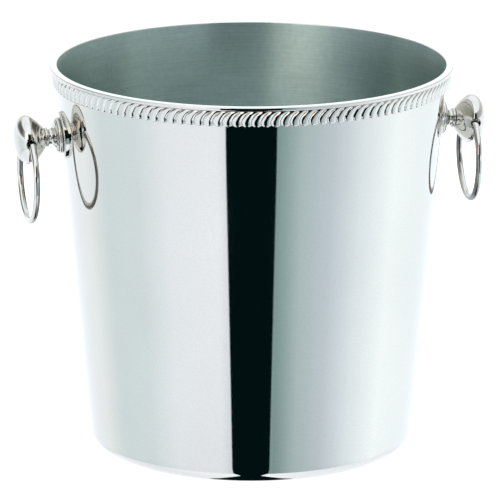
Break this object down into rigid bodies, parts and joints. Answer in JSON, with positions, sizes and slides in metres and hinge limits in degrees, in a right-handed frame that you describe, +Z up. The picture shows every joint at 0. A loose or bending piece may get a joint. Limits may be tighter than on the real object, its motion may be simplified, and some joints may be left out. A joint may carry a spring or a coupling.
{
  "type": "champagne bucket",
  "caption": "Tapered mirror-polished champagne bucket with a satin inside, a gadroon border under its rolled rim, and a mushroom knob with a loose drop ring on each side.",
  "frame": {"origin": "centre of the base on the plane the bucket stands on", "axes": "+Z up along the bucket's axis; the two knob-and-ring handles lie on the X axis, left at -X and right at +X"},
  "size_m": [0.253, 0.212, 0.2047],
  "materials": {
    "polished_metal": "mirror polished silver-coloured metal",
    "satin_metal": "satin, brushed around the axis",
    "seal_rubber": "matte translucent white silicone"
  },
  "bodies": {
    "bucket": {"bucket_body": "polished_metal", "gadroon_border": "polished_metal", "rosette_left": "polished_metal", "collar_left": "polished_metal", "stem_left": "polished_metal", "knob_left": "polished_metal", "seal_left": "seal_rubber", "washer_left": "satin_metal", "screw_left": "satin_metal", "rosette_right": "polished_metal", "collar_right": "polished_metal", "stem_right": "polished_metal", "knob_right": "polished_metal", "seal_right": "seal_rubber", "washer_right": "satin_metal", "screw_right": "satin_metal"},
    "drop_ring_left": {"ring_left": "polished_metal"},
    "drop_ring_right": {"ring_right": "polished_metal"}
  },
  "joints": [
    {"name": "ring_left_swing", "type": "hinge", "parent": "bucket", "child": "drop_ring_left", "pos_m": [-0.11899, 0, 0.16847], "axis": [-0.0332, 0.9995, 0], "range_deg": [-28, 197]},
    {"name": "ring_right_swing", "type": "hinge", "parent": "bucket", "child": "drop_ring_right", "pos_m": [0.11899, 0, 0.16847], "axis": [-0.0366, -0.9993, 0], "range_deg": [-28, 197]}
  ]
}
